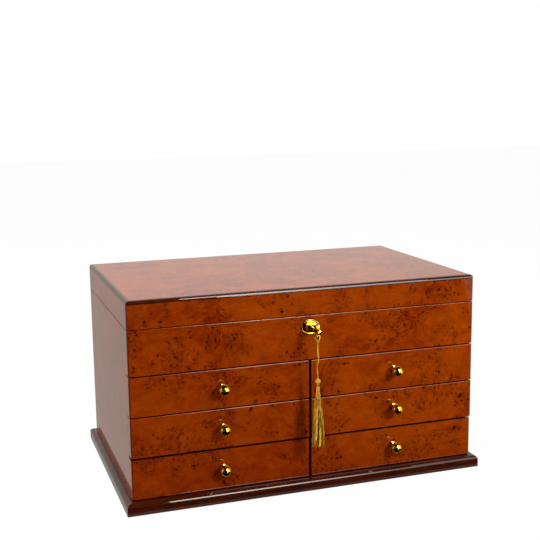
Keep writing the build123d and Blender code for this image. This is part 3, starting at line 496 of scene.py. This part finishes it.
# Hygrometer: a satin printed dial with a scale of hundredths, a black needle on a
# spindle, and a clear glass. It reads upright from the front when the lid stands open.
dial, dial_shader, w = finish("dial", {"Roughness": 0.5})
card_stock = w.place().noise(700.0, 3.0).rise(0.3, 0.7)
feed(dial_shader, "Base Color", card_stock.mix((0.80, 0.76, 0.63), (0.86, 0.83, 0.72)))
coat(dial, "hygrometer_dial")
black, black_shader, w = finish("needle_black", {"Base Color": (0.01, 0.01, 0.01, 1)})
feed(black_shader, "Roughness", w.place().noise(900.0) * 0.2 + 0.3)
coat(black, "hygrometer_needle")
green, green_shader, w = finish("dial_green", {"Roughness": 0.5})
green_ink = w.place().noise(700.0).mix((0.03, 0.20, 0.07), (0.05, 0.26, 0.10))
feed(green_shader, "Base Color", green_ink)
# Where the print is, and its radii from the dial's middle.
dial_x, print_z = -0.105, 0.21225
figure_radius, figure_size = 0.0134, 0.0034
long_mark, short_mark, scale_radius, rim_radius = 0.0158, 0.0172, 0.0186, 0.0189
best_inside, best_outside = 0.0190, 0.0202


def along_scale(percent, radius):
    """Points on the dial's face: 270 degrees of arc stand for 100, with 50 at the top."""
    turn = np.radians(270 * (np.asarray(percent, float) / 100 - 0.5) - 90)
    radius = np.asarray(radius, float)
    x, y = dial_x + radius * np.cos(turn), radius * np.sin(turn)
    return np.stack([x, y, print_z + 0 * turn * radius], -1)


def printed(name, points, faces, ink):
    """A flat print on the dial, from its points and faces, facing down."""
    piece = piece_of(name, points, faces, smooth=False)
    coat(ink, piece)
    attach(piece, "lid")


def printed_arc(name, percents, inside, outside, ink):
    """A band along the scale between two radii, a quad for each step of the scale."""
    i = np.arange(len(percents) - 1)
    rim = i + len(percents)
    points = np.concatenate([along_scale(percents, inside), along_scale(percents, outside)])
    printed(name, points, np.stack([i + 1, rim + 1, rim, i], -1).tolist(), ink)


# Each mark is a flat stroke: a quad from its inner radius to the scale's, half its width to
# each side of its percent.
marks = np.arange(0, 101, 2)
whole = marks % 10 == 0
inside = np.where(whole, long_mark, short_mark)
half = np.where(whole, 0.42, 0.22)
strokes = [
    along_scale(marks - half, inside), along_scale(marks + half, inside),
    along_scale(marks + half, scale_radius), along_scale(marks - half, scale_radius),
]
stroke_faces = np.arange(4 * len(marks)).reshape(-1, 4)[:, ::-1].tolist()
printed("dial_marks", np.stack(strokes, 1).reshape(-1, 3), stroke_faces, black)
printed_arc("dial_rim_line", np.linspace(0, 100, 181), scale_radius, rim_radius, black)
printed_arc("dial_best_range", np.linspace(65, 75, 31), best_inside, best_outside, green)
spots, faces = [], []
for percent in range(0, 101, 10):
    text = bpy.data.curves.new("figure", "FONT")
    text.body, text.size, text.align_x, text.align_y = str(percent), figure_size, "CENTER", "CENTER"
    text.resolution_u = 3
    lettering = bpy.data.objects.new("figure", text)
    studio.collection.objects.link(lettering)
    evaluated = lettering.evaluated_get(bpy.context.evaluated_depsgraph_get())
    shape = bpy.data.meshes.new_from_object(evaluated)
    flat = np.empty(3 * len(shape.vertices))
    shape.vertices.foreach_get("co", flat)
    flat = flat.reshape(-1, 3)
    centre = along_scale(percent, figure_radius)
    start = sum(len(s) for s in spots)
    x, y = centre[0] + flat[:, 0], centre[1] - flat[:, 1]
    spots.append(np.stack([x, y, np.full(len(flat), print_z)], -1))
    faces += [[start + v for v in p.vertices] for p in shape.polygons]
    bpy.data.objects.remove(lettering)
    bpy.data.curves.remove(text)
    bpy.data.meshes.remove(shape)
printed("dial_figures", np.vstack(spots), faces, black)
clear = {"Roughness": 0.02, "Transmission Weight": 1.0, "IOR": 1.45, "Base Color": (1, 1, 1, 1)}
glass, _, _ = finish("glass", clear)
coat(glass, "hygrometer_glass")

# Studio: a white paper floor that keeps a faint shadow, and a white surround. Reflections
# see both a little warmer and greyer than the camera does.
white, warm = (1, 1, 1), (1, 0.95, 0.88)
floor_corners = 6.0 * np.array([(-1, -1, 0), (1, -1, 0), (1, 1, 0), (-1, 1, 0)])
floor = piece_of("floor", floor_corners, [(0, 1, 2, 3)], smooth=False)
paper = bpy.data.materials.new("floor_paper")
paper.use_nodes = True
w = Wire(paper.node_tree)
seen = w.node("LightPath", {}, {}, "Is Camera Ray")
glossy = w.node("LightPath", {}, {}, "Is Glossy Ray")
lit = w.node("BsdfDiffuse", {}, {"Color": (0.52, 0.52, 0.51)})
glow_strength = seen * 0.025 + 1.0 - glossy * 0.50
glow = w.node("Emission", {}, {"Color": glossy.mix(white, warm), "Strength": glow_strength})
both = w.node("MixShader", {}, {0: (seen * 0.94).maths("MAXIMUM", glossy), 1: lit, 2: glow})
feed(paper.node_tree.nodes["Material Output"], "Surface", both)
floor.data.materials.append(paper)

world = bpy.data.worlds.new("studio")
studio.world = world
world.use_nodes = True
w = Wire(world.node_tree)
seen = w.node("LightPath", {}, {}, "Is Camera Ray")
glossy = w.node("LightPath", {}, {}, "Is Glossy Ray")
through = w.node("LightPath", {}, {}, "Is Transmission Ray")
background = world.node_tree.nodes["Background"]
feed(background, "Color", glossy.mix(white, warm))
feed(background, "Strength", seen.maths("MAXIMUM", through) * 0.55 + glossy * 0.35 + 0.45)


def card(name, corners, strength, faded=None, without=(), only=()):
    """A flat card that only reflections see, from its four corners: black at strength 0, and
    a lit panel above that, which may fade towards the right to a strength at its far end.
    Its light can leave out some nodes, or reach only some."""
    face = bpy.data.materials.new(name)
    face.use_nodes = True
    w = Wire(face.node_tree)
    if faded is not None:
        fade_from, fade_to = 0.36, 0.86
        strength = w.place().along(0).rise(fade_to, fade_from) * (strength - faded) + faded
    glow = w.node("Emission", {}, {"Color": (1, 0.93, 0.84), "Strength": strength})
    feed(face.node_tree.nodes["Material Output"], "Surface", glow)
    o = piece_of(name, np.array(corners), [(0, 1, 2, 3)], smooth=False)
    o.data.materials.append(face)
    o.visible_camera = o.visible_diffuse = o.visible_shadow = o.visible_transmission = False
    if without or only:
        reached = bpy.data.collections.new(name + "_reach")
        for node in [*without, *only]:
            reached.objects.link(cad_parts[node])
        for linked in reached.collection_objects:
            linked.light_linking.link_state = "EXCLUDE" if without else "INCLUDE"
        o.light_linking.receiver_collection = reached


def standing(x0, y0, x1, y1, low, high):
    """The corners of an upright card over a line on the floor, between two heights."""
    return [(x0, y0, low), (x1, y1, low), (x1, y1, high), (x0, y0, high)]


def lying(*corners):
    """The corners of a card that lies on the floor, a hair above it."""
    return [(x, y, 0.0006) for x, y in corners]


strip = [(0.36, -1.70, 0.04), (1.04, -1.54, 0.04), (0.92, -1.12, 2.0), (0.23, -1.28, 2.0)]
low_strip = [(0.18, -1.66, 0.20), (1.02, -1.50, 0.20), (0.99, -1.40, 0.70), (0.14, -1.56, 0.70)]
overhead = [(-2.5, -1.9, 2.15), (2.5, -1.9, 2.15), (2.5, 0.3, 2.15), (-2.5, 0.3, 2.15)]
card("strip_light", strip, 14.0, 7.5, without=("lid_top", "plinth_mouldings"))
card("low_strip", low_strip, 13.0, 2.5, only=("plinth_mouldings",))
card("side_panel", standing(1.04, -1.5, 2.2, -1.0, 0.02, 2.0), 2.0, without=("lid_top",))
card("pale_floor", lying((0.28, -0.13), (1.25, -1.9), (2.5, -1.9), (2.5, -0.13)), 1.2)
card("dark_front", standing(-2.5, -1.75, 1.25, -1.75, 0.0, 2.2), 0.0)
card("dark_left", standing(-1.2, -1.75, -1.2, -0.5, 0.0, 2.2), 0.05)
card("dark_behind", standing(-3.0, 2.3, -0.5, 2.3, 0.02, 2.2), 0.64)
card("dark_above", overhead, 0.0)
card("dark_floor", lying((-0.8, -1.9), (1.17, -1.9), (0.24, -0.135), (-0.8, -0.135)), 0.0)


# Two soft lamps: one overhead, and one in front on the right that casts the soft shadows of
# the knobs and the tassel.
def lamp(name, spot, size, power):
    """A square lamp at a spot, facing the middle of the cabinet, not seen in reflections."""
    back = np.array(spot) - (0.0, 0.0, 0.12)
    back /= np.linalg.norm(back)
    side = np.cross((0, 0, 1), back)
    side /= np.linalg.norm(side)
    o = bpy.data.objects.new(name, bpy.data.lights.new(name, "AREA"))
    o.data.size, o.data.energy = size, power
    o.matrix_world = aimed(side, np.cross(back, side), back, spot)
    o.visible_camera = o.visible_glossy = False
    studio.collection.objects.link(o)


lamp("overhead_lamp", (-0.65, 0.05, 1.6), 0.7, 31.0)
lamp("key_lamp", (0.72, -1.60, 1.05), 0.24, 27.5)
